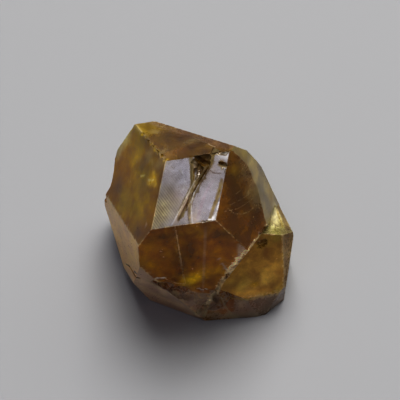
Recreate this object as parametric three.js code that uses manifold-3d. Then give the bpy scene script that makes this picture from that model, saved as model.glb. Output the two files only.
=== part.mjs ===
// Grossular garnet crystal, 38 mm tall: one natural crystal, so one closed solid.
//
// The outline is a rhombic dodecahedron with a few trapezohedron faces, standing on a flat broken
// foot. A fracture crosses the right-hand side: the block beyond it has slipped back, and its own
// parting face and notch show past a crumbled step. Chips line the lower front edge, and thin ribs
// of regrowth cross the bright upper face beside a rough pit.
//
// Millimetres, +Z up. Planes are set about the centre of growth; the finished solid is then moved
// so that the middle of its footprint is the origin.

import * as THREE from 'three';
import { mergeVertices } from 'three/addons/utils/BufferGeometryUtils.js';
import Module from 'manifold-3d';

const wasm = await Module();
wasm.setup();

// ---- driving dimensions -------------------------------------------------------------------

const FOOT_DEPTH = 25.6;       // from the centre of growth down to the broken foot
const ROUGH = 70;              // edge of the rough block that the faces are cut on
const CUTTER = 200;            // edge of each block that cuts it
const BLOCK_OVERLAP = 1.5;     // how far the slipped block runs on under the main one
const WELD = 1e-4;             // vertices closer than this are one vertex
const DISH_LIFT = 0.6;         // height of a dish's ball above the face, in depths of the dish
const DISH_SPREAD = 1.08;      // ball radius over the half size of the footprint it leaves
const BAR_DIVE = 1.1;          // how far the ends of a bar go under the face, in its radii
const TERRACE_REACH = 4;       // how far a terrace's cutter stands clear of the face

// How the cubic axes of the crystal lie in space when it rests on its foot, in degrees.
const ATTITUDE = { x: -21.4, y: -15.2, z: -127.6 };

// Growth faces, by Miller index and distance from the centre of growth.
const CROWN = indexed([1, 0, 1], 9.97);
const LEFT = indexed([1, -1, 0], 9.54);
const TOP = indexed([0, -1, 1], 10.09);
const FRONT = indexed([1, 1, 0], 8.62);
const RIGHT = indexed([0, 1, 1], 8.55);
const LEFT_STRIP = indexed([2, -1, -1], 12.28);
const LEFT_FOOT = indexed([2, 1, -1], 13.31);
const BACK = indexed([-1, -1, 0], 15.2);
const UNDER_BACK = indexed([-1, 0, -1], 25.4);

// Broken and worn faces, by the azimuth and height of their normal and their distance.
const FOOT = aimed(0, -90, FOOT_DEPTH);
const BACK_BREAK = aimed(66.4, 37.9, 9.88);
const LEFT_BACK = aimed(162.7, 8.1, 17.13);
const LEFT_BACK_UNDER = aimed(-176.6, -26.9, 24.0);
const LEFT_SLIVER = aimed(-170.6, -17.3, 18.95);
const LOWER_LEFT = aimed(-146.9, -21.3, 17.59);
const CORNER = [aimed(163.2, 28.7, 14.05), aimed(109.4, 33.2, 15.87), aimed(139.8, 24.2, 17.88)];
const SHOULDER = [aimed(-5.4, 29.7, 10.29), aimed(-3.1, 20.7, 9.7), aimed(-2.4, 15.4, 9.68)];
const SHOULDER_BACK = [aimed(53.1, 27.7, 10.18), aimed(39.1, 18.9, 11.43)];
const RIGHT_BACK = aimed(34.2, 13.3, 13.3);

// The fracture, and the faces of the block that slipped along it.
const FRACTURE = aimed(-31.7, -19.8, 11.2);
const PARTING = aimed(-71.3, 11.5, 4.96);
const NOTCH = aimed(54.9, 59.5, -2.65);
const MARGIN = aimed(-40.8, 9.9, 10.43);
const SLIPPED_SIDES = [aimed(15.7, 8.9, 13.38), aimed(-10, -1.2, 15.71)];
const SLIPPED_FEET = [aimed(-72.7, 0.6, 8.57), aimed(-47, -8.9, 15.85)];

// Faint second faces that lie a degree or two off the main ones, each turned about a line on it.
const CROWN_HALF = turned(CROWN, [2.2, 6.6], [-1.9, -4.9], 1.3);
const CROWN_RIM = turned(CROWN, [4.1, 3.0], [3.0, -3.3], 5);
const FRONT_HALF = turned(FRONT, [0.33, 6.6], [0.01, -14.1], 1.6);

// ---- directions and planes -----------------------------------------------------------------

function radians(degrees) {
  return THREE.MathUtils.degToRad(degrees);
}

/** The plane of a growth face: its outward normal from the Miller index, and its distance. */
function indexed(index, distance) {
  const turn = new THREE.Euler(radians(ATTITUDE.x), radians(ATTITUDE.y), radians(ATTITUDE.z), 'ZYX');
  const normal = new THREE.Vector3(...index).normalize().applyEuler(turn);
  return { normal, distance };
}

/** The plane whose normal points along an azimuth from +X and a height above level. */
function aimed(azimuth, height, distance) {
  const level = Math.cos(radians(height));
  const normal = new THREE.Vector3(
    level * Math.cos(radians(azimuth)),
    level * Math.sin(radians(azimuth)),
    Math.sin(radians(height)),
  );
  return { normal, distance };
}

/** A face's own frame: u runs level across it, v up its slope, and w out of it. */
function frameOf({ normal, distance }) {
  const u = new THREE.Vector3(0, 0, 1).cross(normal).normalize();
  const v = normal.clone().cross(u);
  const origin = normal.clone().multiplyScalar(distance);
  return new THREE.Matrix4().makeBasis(u, v, normal).setPosition(origin);
}

/** A place on a face, given across and up it. */
function onFace(face, [across, up]) {
  return new THREE.Vector3(across, up, 0).applyMatrix4(frameOf(face));
}

/** The face turned about a line on it, so that the side left of the line falls away. */
function turned(face, from, to, degrees) {
  const start = onFace(face, from);
  const axis = onFace(face, to).sub(start).normalize();
  const normal = face.normal.clone().applyAxisAngle(axis, -radians(degrees));
  return { normal, distance: normal.dot(start) };
}

/** The point that three planes share. */
function corner(first, second, third) {
  const rows = [first, second, third].map(({ normal }) => normal);
  const inverse = new THREE.Matrix3().set(
    rows[0].x, rows[0].y, rows[0].z,
    rows[1].x, rows[1].y, rows[1].z,
    rows[2].x, rows[2].y, rows[2].z,
  ).invert();
  return new THREE.Vector3(first.distance, second.distance, third.distance).applyMatrix3(inverse);
}

// ---- solids --------------------------------------------------------------------------------

/** A three.js geometry made a solid that can be joined and cut. */
function solidOf(geometry) {
  const bare = geometry.clone();
  bare.deleteAttribute('normal');
  bare.deleteAttribute('uv');
  const welded = mergeVertices(bare, WELD);
  return new wasm.Manifold(new wasm.Mesh({
    numProp: 3,
    vertProperties: new Float32Array(welded.attributes.position.array),
    triVerts: new Uint32Array(welded.index.array),
  }));
}

/** The solid made a three.js geometry again. */
function geometryOf(solid) {
  const mesh = solid.getMesh();
  const geometry = new THREE.BufferGeometry();
  geometry.setAttribute('position', new THREE.BufferAttribute(mesh.vertProperties, 3));
  geometry.setIndex(new THREE.BufferAttribute(mesh.triVerts, 1));
  return geometry;
}

/** A block that fills everything beyond a plane. */
function beyond(face) {
  const block = new THREE.BoxGeometry(CUTTER, CUTTER, CUTTER);
  block.translate(0, 0, CUTTER / 2);
  block.applyMatrix4(frameOf(face));
  return solidOf(block);
}

/** A block that fills everything behind a plane, or behind one that lies so far out from it. */
function behind(face, reach) {
  const block = new THREE.BoxGeometry(CUTTER, CUTTER, CUTTER);
  block.translate(0, 0, reach - CUTTER / 2);
  block.applyMatrix4(frameOf(face));
  return solidOf(block);
}

/** The solid cut back to every one of the planes. */
function trimmed(solid, faces) {
  return faces.reduce((rest, face) => rest.subtract(beyond(face)), solid);
}

/** Push a point of a unit ball in or out: slow lumps, and the arcs of a shell-like break. */
function brokenSurface(point, seed, lumps, arcs) {
  const lump = Math.sin(2.7 * point.x + 1.9 * point.y + seed)
    * Math.sin(3.3 * point.y - 2.1 * point.z + 1.7 * seed);
  const fromStrike = Math.hypot(point.x, point.y - 1, point.z);
  return 1 + lumps * lump + arcs * Math.cos(15 * fromStrike + seed);
}

/** A unit ball with a broken surface. */
function brokenBall({ seed, lumps, arcs, detail }) {
  const ball = new THREE.IcosahedronGeometry(1, detail);
  const points = ball.attributes.position;
  const point = new THREE.Vector3();
  for (let i = 0; i < points.count; i += 1) {
    point.fromBufferAttribute(points, i);
    point.multiplyScalar(brokenSurface(point, seed, lumps, arcs));
    points.setXYZ(i, point.x, point.y, point.z);
  }
  return ball;
}

/** A dish sunk into a face, with a footprint of the given half sizes across and up the face. */
function dish(face, at, half, depth, { turn = 0, seed = 0, lumps = 0.25, arcs = 0, detail = 2 }) {
  const lift = DISH_LIFT * depth;
  const ball = brokenBall({ seed, lumps, arcs, detail });
  ball.scale(DISH_SPREAD * half[0], DISH_SPREAD * half[1], depth + lift);
  ball.rotateZ(radians(turn));
  ball.translate(at[0], at[1], lift);
  ball.applyMatrix4(frameOf(face));
  return solidOf(ball);
}

/**
 * A round bar along a curve on a face. Its crest stands proud of the face by its height, or its
 * keel lies that deep in it where the height is negative, and it runs out at both ends.
 */
function bar(face, width, height, along) {
  const rise = Math.abs(height);
  const radius = (0.25 * width * width + rise * rise) / (2 * rise);
  const last = along.length - 1;
  const path = new THREE.CatmullRomCurve3(along.map(([across, up], i) => {
    const offset = i === 0 || i === last ? BAR_DIVE * radius : radius - rise;
    return new THREE.Vector3(across, up, -Math.sign(height) * offset);
  }));
  const section = new THREE.Shape();
  section.absarc(0, 0, radius, 0, 2 * Math.PI);
  const tube = new THREE.ExtrudeGeometry(section, {
    steps: 5 * last,
    curveSegments: 5,
    extrudePath: path,
    bevelEnabled: false,
  });
  tube.applyMatrix4(frameOf(face));
  return solidOf(tube);
}

/** A shallow terrace: the outline on a face, cut down by one growth step. */
function terrace(face, depth, outline) {
  const shape = new THREE.Shape(outline.map(([across, up]) => new THREE.Vector2(across, up)));
  const slab = new THREE.ExtrudeGeometry(shape, { depth: TERRACE_REACH + depth, bevelEnabled: false });
  slab.translate(0, 0, -depth);
  slab.applyMatrix4(frameOf(face));
  return solidOf(slab);
}

/** Crumbs broken out of an edge between two points: overlapping, of uneven size and turn. */
function crumbs(from, to, { count, size, seed }) {
  const along = to.clone().sub(from).normalize();
  const turn = new THREE.Quaternion().setFromUnitVectors(new THREE.Vector3(0, 1, 0), along);
  const cutters = [];
  for (let i = 0; i < count; i += 1) {
    const uneven = Math.sin(12.9 * (i + 1) + seed);
    const spread = Math.sin(7.1 * i + 2 * seed);
    const crumb = brokenBall({ seed: seed + 1.7 * i, lumps: 0.3, arcs: 0, detail: 1 });
    crumb.scale(size * (1 + 0.4 * uneven), size * (1.5 + 0.5 * spread), size * (1 + 0.3 * spread));
    crumb.rotateY(1.3 * i);
    crumb.applyQuaternion(turn);
    const place = from.clone().lerp(to, (i + 0.5 + 0.3 * spread) / count);
    crumb.translate(place.x + 0.3 * size * uneven, place.y, place.z);
    cutters.push(solidOf(crumb));
  }
  return cutters;
}

// ---- the crystal ---------------------------------------------------------------------------

/** Faces that both blocks share: the front, the foot and the hidden back. */
function rough() {
  const block = solidOf(new THREE.BoxGeometry(ROUGH, ROUGH, ROUGH));
  return trimmed(block, [
    FRONT, FRONT_HALF, LEFT_FOOT, LOWER_LEFT, FOOT, BACK, UNDER_BACK, BACK_BREAK, RIGHT_BACK,
  ]);
}

/** The main block, on the near side of the fracture. */
function mainBlock(block) {
  return trimmed(block, [
    CROWN, CROWN_HALF, CROWN_RIM, LEFT, TOP, RIGHT, LEFT_STRIP, LEFT_SLIVER, LEFT_BACK,
    LEFT_BACK_UNDER, ...CORNER, ...SHOULDER, ...SHOULDER_BACK, FRACTURE,
  ]);
}

/** The block that slipped back along the fracture. */
function slippedBlock(block) {
  const far = trimmed(block, [PARTING, NOTCH, MARGIN, ...SLIPPED_SIDES, ...SLIPPED_FEET]);
  return far.subtract(behind(FRACTURE, -BLOCK_OVERLAP));
}

/** Ribs of regrowth that stand on the bright upper face: a bowed one and a straight one. */
function ribs() {
  return [
    bar(CROWN, 0.95, 0.16, [
      [2.5, 7.6], [1.7, 5.3], [0.6, 3.0], [-0.3, 0.9], [-0.8, -0.8], [-1.4, -2.9], [-1.9, -4.8],
    ]),
    bar(CROWN, 0.5, 0.1, [[-1.2, 5.8], [-0.65, 3.1], [-0.2, 0.9], [-0.2, -1.6], [-0.05, -3.8]]),
  ];
}

/** Grooves: beside the bowed rib, along the crown's right margin, and the crack down the front. */
function grooves() {
  return [
    bar(CROWN, 0.45, -0.14, [[2.0, 5.0], [1.15, 3.1], [0.3, 0.95], [-0.2, -0.8], [-0.85, -3.0]]),
    bar(CROWN, 0.5, -0.16, [[4.2, 3.0], [4.0, 1.2], [3.6, -0.6], [3.0, -3.4]]),
    bar(FRONT, 0.22, -0.08, [
      [-4.6, 5.6], [-4.3, 2.4], [-4.1, -0.6], [-3.6, -4.7], [-3.3, -8.6], [-3.1, -12.6],
    ]),
  ];
}

/** The rough wedge-shaped pit between the ribs, and the small pits beside it. */
function crownPits() {
  return [
    dish(CROWN, [0.5, 5.7], [1.35, 1.1], 1.1, { arcs: 0.03, seed: 1, detail: 3 }),
    dish(CROWN, [0.15, 3.9], [0.6, 1.6], 0.7, { turn: -14, seed: 2 }),
    dish(CROWN, [-0.5, 4.9], [0.55, 0.8], 0.4, { turn: 20, seed: 20 }),
    dish(CROWN, [3.85, 5.4], [0.75, 0.5], 0.5, { seed: 3 }),
    dish(TOP, [7.4, -3.2], [1.3, 0.45], 0.35, { turn: -20, seed: 21 }),
  ];
}

/** Chips broken out below the front: large ones side by side, and small ones where they meet. */
function frontChips() {
  return [
    dish(FRONT, [-9.7, -11.7], [1.3, 1.2], 0.9, { turn: -30, seed: 9 }),
    dish(FRONT, [-7.0, -12.3], [2.1, 1.9], 1.2, { turn: -20, arcs: 0.02, seed: 10, detail: 3 }),
    dish(FRONT, [-4.3, -14.5], [1.5, 2.2], 1.4, { turn: -8, arcs: 0.02, seed: 11, detail: 3 }),
    dish(FRONT, [-1.9, -16.5], [1.4, 2.0], 0.9, { turn: 12, seed: 22 }),
    dish(FRONT, [0.5, -17.1], [2.2, 2.5], 1.2, { turn: 20, arcs: 0.02, seed: 12, detail: 3 }),
    dish(FRONT, [3.2, -17.9], [1.6, 2.3], 1.1, { turn: -25, arcs: 0.02, seed: 13, detail: 3 }),
    dish(FRONT, [-8.6, -10.3], [0.8, 0.45], 0.3, { turn: -15, seed: 23, detail: 1 }),
    dish(FRONT, [-5.3, -12.2], [0.7, 0.5], 0.35, { turn: 35, seed: 24, detail: 1 }),
    dish(FRONT, [-2.7, -14.4], [0.8, 0.6], 0.35, { turn: -20, seed: 25, detail: 1 }),
    dish(FRONT, [1.9, -14.9], [0.9, 0.5], 0.3, { turn: 10, seed: 26, detail: 1 }),
    dish(FRONT, [1.9, -20.6], [1.3, 1.0], 0.7, { turn: 30, seed: 27 }),
  ];
}

/** The nick in the left outline, the broken far corner, and the crack under the left strip. */
function leftBreaks() {
  return [
    dish(LEFT_BACK, [-6.5, -11.9], [3.2, 4.2], 1.5, { turn: 42, lumps: 0.2, seed: 7, detail: 3 }),
    dish(CORNER[0], [-9.0, 1.0], [3.2, 2.2], 0.4, { turn: 30, seed: 8 }),
    dish(LEFT_STRIP, [1.6, -13.4], [4.6, 0.28], 0.7, { turn: 27, lumps: 0.1, seed: 14 }),
    dish(LEFT_STRIP, [5.0, -11.6], [1.2, 0.7], 0.5, { turn: 35, seed: 28 }),
  ];
}

/** The shell-like hollow in the notch above the parting face, and a bite out of its edge. */
function notchBreaks() {
  return [
    dish(NOTCH, [-8.9, -12.0], [1.2, 4.0], 0.7, { turn: 27, lumps: 0.2, arcs: 0.03, seed: 15 }),
    dish(PARTING, [8.7, -8.4], [1.0, 0.8], 0.35, { turn: 30, seed: 16 }),
  ];
}

/** Broad shell-like breaks and low growth steps on the hidden back. */
function backBreaks() {
  return [
    dish(BACK, [3.0, -12], [9.0, 5.5], 0.8, { turn: 25, lumps: 0.3, arcs: 0.015, seed: 17, detail: 3 }),
    dish(BACK, [-4.5, -5], [4.0, 6.0], 0.5, { turn: -20, lumps: 0.3, arcs: 0.015, seed: 29, detail: 3 }),
    dish(UNDER_BACK, [-7, 2], [6.0, 3.6], 0.6, { turn: -25, arcs: 0.015, seed: 18, detail: 3 }),
    terrace(BACK, 0.25, [[-9, 3], [-1, 7], [8, 2], [12, 12], [-12, 12]]),
    terrace(LEFT_BACK, 0.22, [[-14, 4], [-6, 8], [4, 5], [6, 14], [-14, 14]]),
  ];
}

/** The crumbled lip of the step, down the right face and then the front face to the foot. */
function crumbledLip() {
  const bend = corner(FRACTURE, RIGHT, FRONT_HALF);
  const upper = corner(FRACTURE, RIGHT, SHOULDER[2]);
  const lower = corner(FRACTURE, FRONT_HALF, FOOT);
  return [
    ...crumbs(upper, bend, { count: 6, size: 0.45, seed: 1 }),
    ...crumbs(bend, lower, { count: 16, size: 0.62, seed: 2 }),
  ];
}

/** Edges worn by handling: bites along the left edge of the top, and at the crown's corners. */
function wornEdges() {
  const saddle = corner(LEFT, TOP, CROWN);
  const farLeft = corner(LEFT, TOP, CORNER[0]);
  const crownRight = corner(CROWN_RIM, TOP, RIGHT);
  const crownFoot = corner(CROWN, FRONT, RIGHT);
  const crownLeft = corner(CROWN_HALF, FRONT, LEFT);
  return [
    ...crumbs(saddle, saddle.clone().lerp(farLeft, 0.75), { count: 9, size: 0.4, seed: 3 }),
    ...crumbs(crownRight, crownRight.clone().lerp(saddle, 0.4), { count: 5, size: 0.35, seed: 4 }),
    ...crumbs(crownFoot, crownFoot.clone().lerp(crownLeft, 0.22), { count: 4, size: 0.22, seed: 5 }),
  ];
}

/** The whole crystal as one solid. */
function crystal() {
  const block = rough();
  const joined = mainBlock(block).add(slippedBlock(block));
  const ribbed = ribs().reduce((whole, piece) => whole.add(piece), joined);
  const cutters = [
    ...grooves(), ...crownPits(), ...frontChips(), ...leftBreaks(), ...notchBreaks(),
    ...backBreaks(), ...crumbledLip(), ...wornEdges(),
  ];
  return cutters.reduce((whole, cutter) => whole.subtract(cutter), ribbed);
}

const geometry = geometryOf(crystal());
geometry.computeBoundingBox();
const middle = geometry.boundingBox.getCenter(new THREE.Vector3());
geometry.translate(-middle.x, -middle.y, FOOT_DEPTH);

const garnet = new THREE.Mesh(geometry, new THREE.MeshStandardMaterial({
  color: 0x6b4513,
  roughness: 0.18,
  metalness: 0,
  flatShading: true,
}));
garnet.name = 'garnet_crystal';

const group = new THREE.Group();
group.name = 'grossular_garnet';
group.add(garnet);

export default group;
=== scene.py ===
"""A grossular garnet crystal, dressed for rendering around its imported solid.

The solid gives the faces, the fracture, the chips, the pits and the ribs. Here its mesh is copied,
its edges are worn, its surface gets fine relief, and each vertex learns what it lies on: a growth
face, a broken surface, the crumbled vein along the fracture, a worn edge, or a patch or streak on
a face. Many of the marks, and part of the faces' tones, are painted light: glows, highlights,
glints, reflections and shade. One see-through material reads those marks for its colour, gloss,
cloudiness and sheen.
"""

import logging
import math
from dataclasses import dataclass, field
from enum import Enum

import bmesh
import bpy
from mathutils import Euler, Matrix, Vector, noise
from mathutils.kdtree import KDTree


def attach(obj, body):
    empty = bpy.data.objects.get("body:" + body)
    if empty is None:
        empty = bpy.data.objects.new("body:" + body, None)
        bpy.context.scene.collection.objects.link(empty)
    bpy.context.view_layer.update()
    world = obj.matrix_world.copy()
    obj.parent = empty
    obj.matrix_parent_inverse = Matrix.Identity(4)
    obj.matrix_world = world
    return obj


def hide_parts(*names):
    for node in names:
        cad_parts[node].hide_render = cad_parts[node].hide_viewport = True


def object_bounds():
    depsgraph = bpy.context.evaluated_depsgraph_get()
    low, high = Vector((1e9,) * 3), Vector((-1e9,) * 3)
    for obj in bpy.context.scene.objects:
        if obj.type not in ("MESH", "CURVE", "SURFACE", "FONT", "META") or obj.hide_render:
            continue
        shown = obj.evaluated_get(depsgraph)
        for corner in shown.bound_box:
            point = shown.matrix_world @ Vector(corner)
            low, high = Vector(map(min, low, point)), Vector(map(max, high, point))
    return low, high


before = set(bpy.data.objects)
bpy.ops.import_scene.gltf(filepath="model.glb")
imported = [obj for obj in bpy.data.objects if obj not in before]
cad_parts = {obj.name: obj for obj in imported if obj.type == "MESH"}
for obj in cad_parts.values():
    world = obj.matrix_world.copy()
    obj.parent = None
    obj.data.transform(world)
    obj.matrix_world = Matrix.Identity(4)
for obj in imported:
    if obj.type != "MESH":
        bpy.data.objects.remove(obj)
CAD_LOW, CAD_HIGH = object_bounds()

log = logging.getLogger("garnet")

MM = 0.001
CRYSTAL_NODE = "garnet_crystal"
ROOT_BODY = "root"

RGBA = tuple[float, float, float, float]
Socket = bpy.types.NodeSocket
Input = Socket | float | Vector | tuple


# ---- the crystal's planes ----

@dataclass(frozen=True)
class Plane:
    """A face's plane about the centre of growth, in millimetres."""

    normal: Vector
    distance: float

    def frame(self) -> tuple[Vector, Vector]:
        """The level direction across the face and the direction up its slope."""
        across = Vector((0, 0, 1)).cross(self.normal).normalized()
        return across, self.normal.cross(across)

    def place(self, across: float, up: float) -> Vector:
        """The point so far across and up the face from the foot of its normal."""
        u, v = self.frame()
        return self.normal * self.distance + u * across + v * up

    def height(self, point: Vector) -> float:
        """How far a point stands out of the plane."""
        return self.normal.dot(point) - self.distance


# How the cubic axes of the crystal lie when it rests on its foot.
ATTITUDE = Euler([math.radians(a) for a in (-21.4, -15.2, -127.6)], "XYZ").to_matrix()


def indexed(index: tuple[int, int, int], distance: float) -> Plane:
    """The plane of a growth face.

    Args:
        index: The face's Miller index.
        distance: Its distance from the centre of growth, in millimetres.

    Returns:
        The plane.
    """
    return Plane((ATTITUDE @ Vector(index)).normalized(), distance)


def aimed(azimuth: float, height: float, distance: float) -> Plane:
    """The plane of a broken face.

    Args:
        azimuth: The direction of its normal from +X, in degrees.
        height: The normal's height above level, in degrees.
        distance: Its distance from the centre of growth, in millimetres.

    Returns:
        The plane.
    """
    a, h = math.radians(azimuth), math.radians(height)
    normal = Vector((math.cos(h) * math.cos(a), math.cos(h) * math.sin(a), math.sin(h)))
    return Plane(normal, distance)


def meet(first: Plane, second: Plane, third: Plane) -> Vector:
    """The point that three planes share."""
    rows = Matrix([first.normal, second.normal, third.normal])
    return rows.inverted() @ Vector((first.distance, second.distance, third.distance))


class Face(Enum):
    """The crystal's named faces, each with its plane."""

    CROWN = indexed((1, 0, 1), 9.97)
    LEFT = indexed((1, -1, 0), 9.54)
    TOP = indexed((0, -1, 1), 10.09)
    FRONT = indexed((1, 1, 0), 8.62)
    RIGHT = indexed((0, 1, 1), 8.55)
    LEFT_STRIP = indexed((2, -1, -1), 12.28)
    LEFT_FOOT = indexed((2, 1, -1), 13.31)
    SHOULDER_HIGH = aimed(-5.4, 29.7, 10.29)
    SHOULDER_MID = aimed(-3.1, 20.7, 9.7)
    SHOULDER_LOW = aimed(-2.4, 15.4, 9.68)
    PARTING = aimed(-71.3, 11.5, 4.96)
    MARGIN = aimed(-40.8, 9.9, 10.43)
    NOTCH = aimed(54.9, 59.5, -2.65)
    FRACTURE = aimed(-31.7, -19.8, 11.2)
    SLIPPED_FOOT = aimed(-72.7, 0.6, 8.57)
    SLIPPED_TOE = aimed(-47, -8.9, 15.85)
    SLIPPED_SIDE = aimed(-10, -1.2, 15.71)
    SLIPPED_BACK = aimed(15.7, 8.9, 13.38)
    LEFT_SLIVER = aimed(-170.6, -17.3, 18.95)
    LOWER_LEFT = aimed(-146.9, -21.3, 17.59)
    LEFT_BACK = aimed(162.7, 8.1, 17.13)
    LEFT_BACK_UNDER = aimed(-176.6, -26.9, 24)
    CORNER_LOW = aimed(163.2, 28.7, 14.05)
    CORNER_FAR = aimed(109.4, 33.2, 15.87)
    CORNER_MID = aimed(139.8, 24.2, 17.88)
    BACK = indexed((-1, -1, 0), 15.2)
    UNDER_BACK = indexed((-1, 0, -1), 25.4)
    BACK_BREAK = aimed(66.4, 37.9, 9.88)
    SHOULDER_BACK_HIGH = aimed(53.1, 27.7, 10.18)
    SHOULDER_BACK_LOW = aimed(39.1, 18.9, 11.43)
    RIGHT_BACK = aimed(34.2, 13.3, 13.3)
    FOOT = aimed(0, -90, 25.6)

    @property
    def plane(self) -> Plane:
        """The face's plane."""
        return self.value


def centre_of_growth(points: list[Vector]) -> Vector:
    """Where the crystal grew from, found from how far its two left faces and its foot reach.

    Args:
        points: The solid's corners, in metres.

    Returns:
        The centre, in metres.
    """
    faces = [face.plane for face in (Face.LEFT, Face.LEFT_STRIP, Face.FOOT)]
    reach = [max(face.normal.dot(p) for p in points) - face.distance * MM for face in faces]
    return Matrix([face.normal for face in faces]).inverted() @ Vector(reach)


# ---- masks ----

def smoothstep(low: float, high: float, value: float) -> float:
    """0 below low, 1 above high, and a smooth rise between them."""
    t = min(max((value - low) / (high - low), 0.0), 1.0)
    return t * t * (3 - 2 * t)


def distance_to_path(point: Vector, path: list[Vector]) -> tuple[float, float]:
    """How near a point is to a path of straight stretches.

    Args:
        point: The point.
        path: The path's corners, in order.

    Returns:
        The distance to the path, and the share of the path's corners passed at the nearest point.
    """
    best, along = math.inf, 0.0
    for i, (a, b) in enumerate(zip(path, path[1:])):
        stretch = b - a
        t = min(max((point - a).dot(stretch) / stretch.length_squared, 0.0), 1.0)
        gap = (point - a - stretch * t).length
        if gap < best:
            best, along = gap, (i + t) / (len(path) - 1)
    return best, along


@dataclass(frozen=True)
class Ripple:
    """Smooth noise: its strength, and how many features it has to a millimetre."""

    strength: float
    pace: float

    def at(self, point: Vector) -> float:
        """The noise at a point, from about minus its strength to its strength."""
        return self.strength * noise.noise(point * self.pace)


@dataclass(frozen=True)
class Gate:
    """Patchy cover: none where smooth noise is below low, and all where it is above high."""

    pace: float
    low: float
    high: float

    def at(self, point: Vector) -> float:
        """How much is covered at a point, from 0 to 1."""
        return smoothstep(self.low, self.high, noise.noise(point * self.pace))


@dataclass
class Look:
    """What the surface is like at one place.

    Colour, roughness, milkiness, silky sheen, growth lines and mottling, each but the first from
    0 for none to 1 for full.
    """

    tone: Vector
    rough: float
    cloud: float
    sheen: float
    lines: float
    mottle: float

    def blend(self, other: "Look", share: float) -> None:
        """Move this look towards another."""
        self.tone = self.tone.lerp(other.tone, share)
        self.rough += (other.rough - self.rough) * share
        self.cloud += (other.cloud - self.cloud) * share
        self.sheen += (other.sheen - self.sheen) * share
        self.lines += (other.lines - self.lines) * share
        self.mottle += (other.mottle - self.mottle) * share

    def copy(self) -> "Look":
        """A look of its own with the same values."""
        return Look(
            self.tone.copy(), self.rough, self.cloud, self.sheen, self.lines, self.mottle,
        )


def look(tone: tuple[float, float, float], rough: float, cloud: float, sheen: float = 0.0,
         lines: float = 0.0, mottle: float = 1.0) -> Look:
    """A look from its plain values."""
    return Look(Vector(tone), rough, cloud, sheen, lines, mottle)


@dataclass
class Patch:
    """A soft mark on one face: a painted glow or highlight, a haze, a dark pool, painted shade or painted
    reflection. Sizes are in millimetres.
    """

    face: Face
    look: Look
    at: tuple[float, float]
    size: tuple[float, float]
    turn: float = 0.0
    strength: float = 1.0
    spills: bool = False
    dent: float = 0.0
    depth: float = 2.0
    broad: Ripple = Ripple(0.8, 0.8)
    fine: Ripple = Ripple(0.5, 2.3)
    least_ragged: float = 0.2

    def share(self, point: Vector) -> float:
        """How much of the patch shows at a point."""
        plane = self.face.plane
        u, v = plane.frame()
        offset = point - plane.place(*self.at)
        angle = math.radians(self.turn)
        du, dv = offset.dot(u), offset.dot(v)
        along = (du * math.cos(angle) + dv * math.sin(angle)) / self.size[0]
        aside = (dv * math.cos(angle) - du * math.sin(angle)) / self.size[1]
        reach = along * along + aside * aside + (plane.height(point) / self.depth) ** 2
        ragged = 1 + self.broad.at(point) + self.fine.at(point)
        return self.strength * math.exp(-reach * max(ragged, self.least_ragged))


@dataclass
class Streak:
    """A line drawn on one face: a crack, a scratch, a painted highlight or shade on a rib's flank, or a
    painted glint. Sizes in millimetres.
    """

    face: Face
    look: Look
    path: list[tuple[float, float]]
    width: float
    strength: float = 1.0
    broken: float = 0.4
    spills: bool = False
    dent: float = 0.0
    near: float = 0.3
    reach: float = 3.0
    solid: float = 0.5
    waver: Ripple = Ripple(0.3, 2.9)
    gaps: Gate = Gate(1.9, -0.1, 0.4)

    def __post_init__(self) -> None:
        """Set the path's corners on the face."""
        self.corners = [self.face.plane.place(u, v) for u, v in self.path]

    def gap(self, point: Vector) -> float:
        """How far a point is from the streak, measured level with the face."""
        plane = self.face.plane
        height = plane.height(point)
        if abs(height) > (self.reach if self.spills else self.near):
            return math.inf
        return distance_to_path(point - plane.normal * height, self.corners)[0]

    def share(self, point: Vector) -> float:
        """How much of the streak shows at a point."""
        gap = self.gap(point)
        if gap > 2 * self.width:
            return 0.0
        gap += self.width * self.waver.at(point)
        shown = 1 - self.broken * self.gaps.at(point)
        return self.strength * shown * (1 - smoothstep(self.solid * self.width, self.width, gap))


@dataclass
class SurfaceMarks:
    """The look of every vertex of the finished mesh, in the mesh's order."""

    looks: list[Look]

    def write(self, mesh: bpy.types.Mesh) -> None:
        """Store the looks as attributes of the mesh."""
        tone = mesh.attributes.new("tone", "FLOAT_VECTOR", "POINT")
        tone.data.foreach_set("vector", [part for here in self.looks for part in here.tone])
        for name in ("rough", "cloud", "sheen", "lines", "mottle"):
            values = [getattr(here, name) for here in self.looks]
            mesh.attributes.new(name, "FLOAT", "POINT").data.foreach_set("value", values)


# ---- looks of the faces and of the marks on them ----

# Each growth face's tone is set to how light and warm that face shows under these lamps, so part of the
# difference from face to face is painted light and shade.
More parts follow.
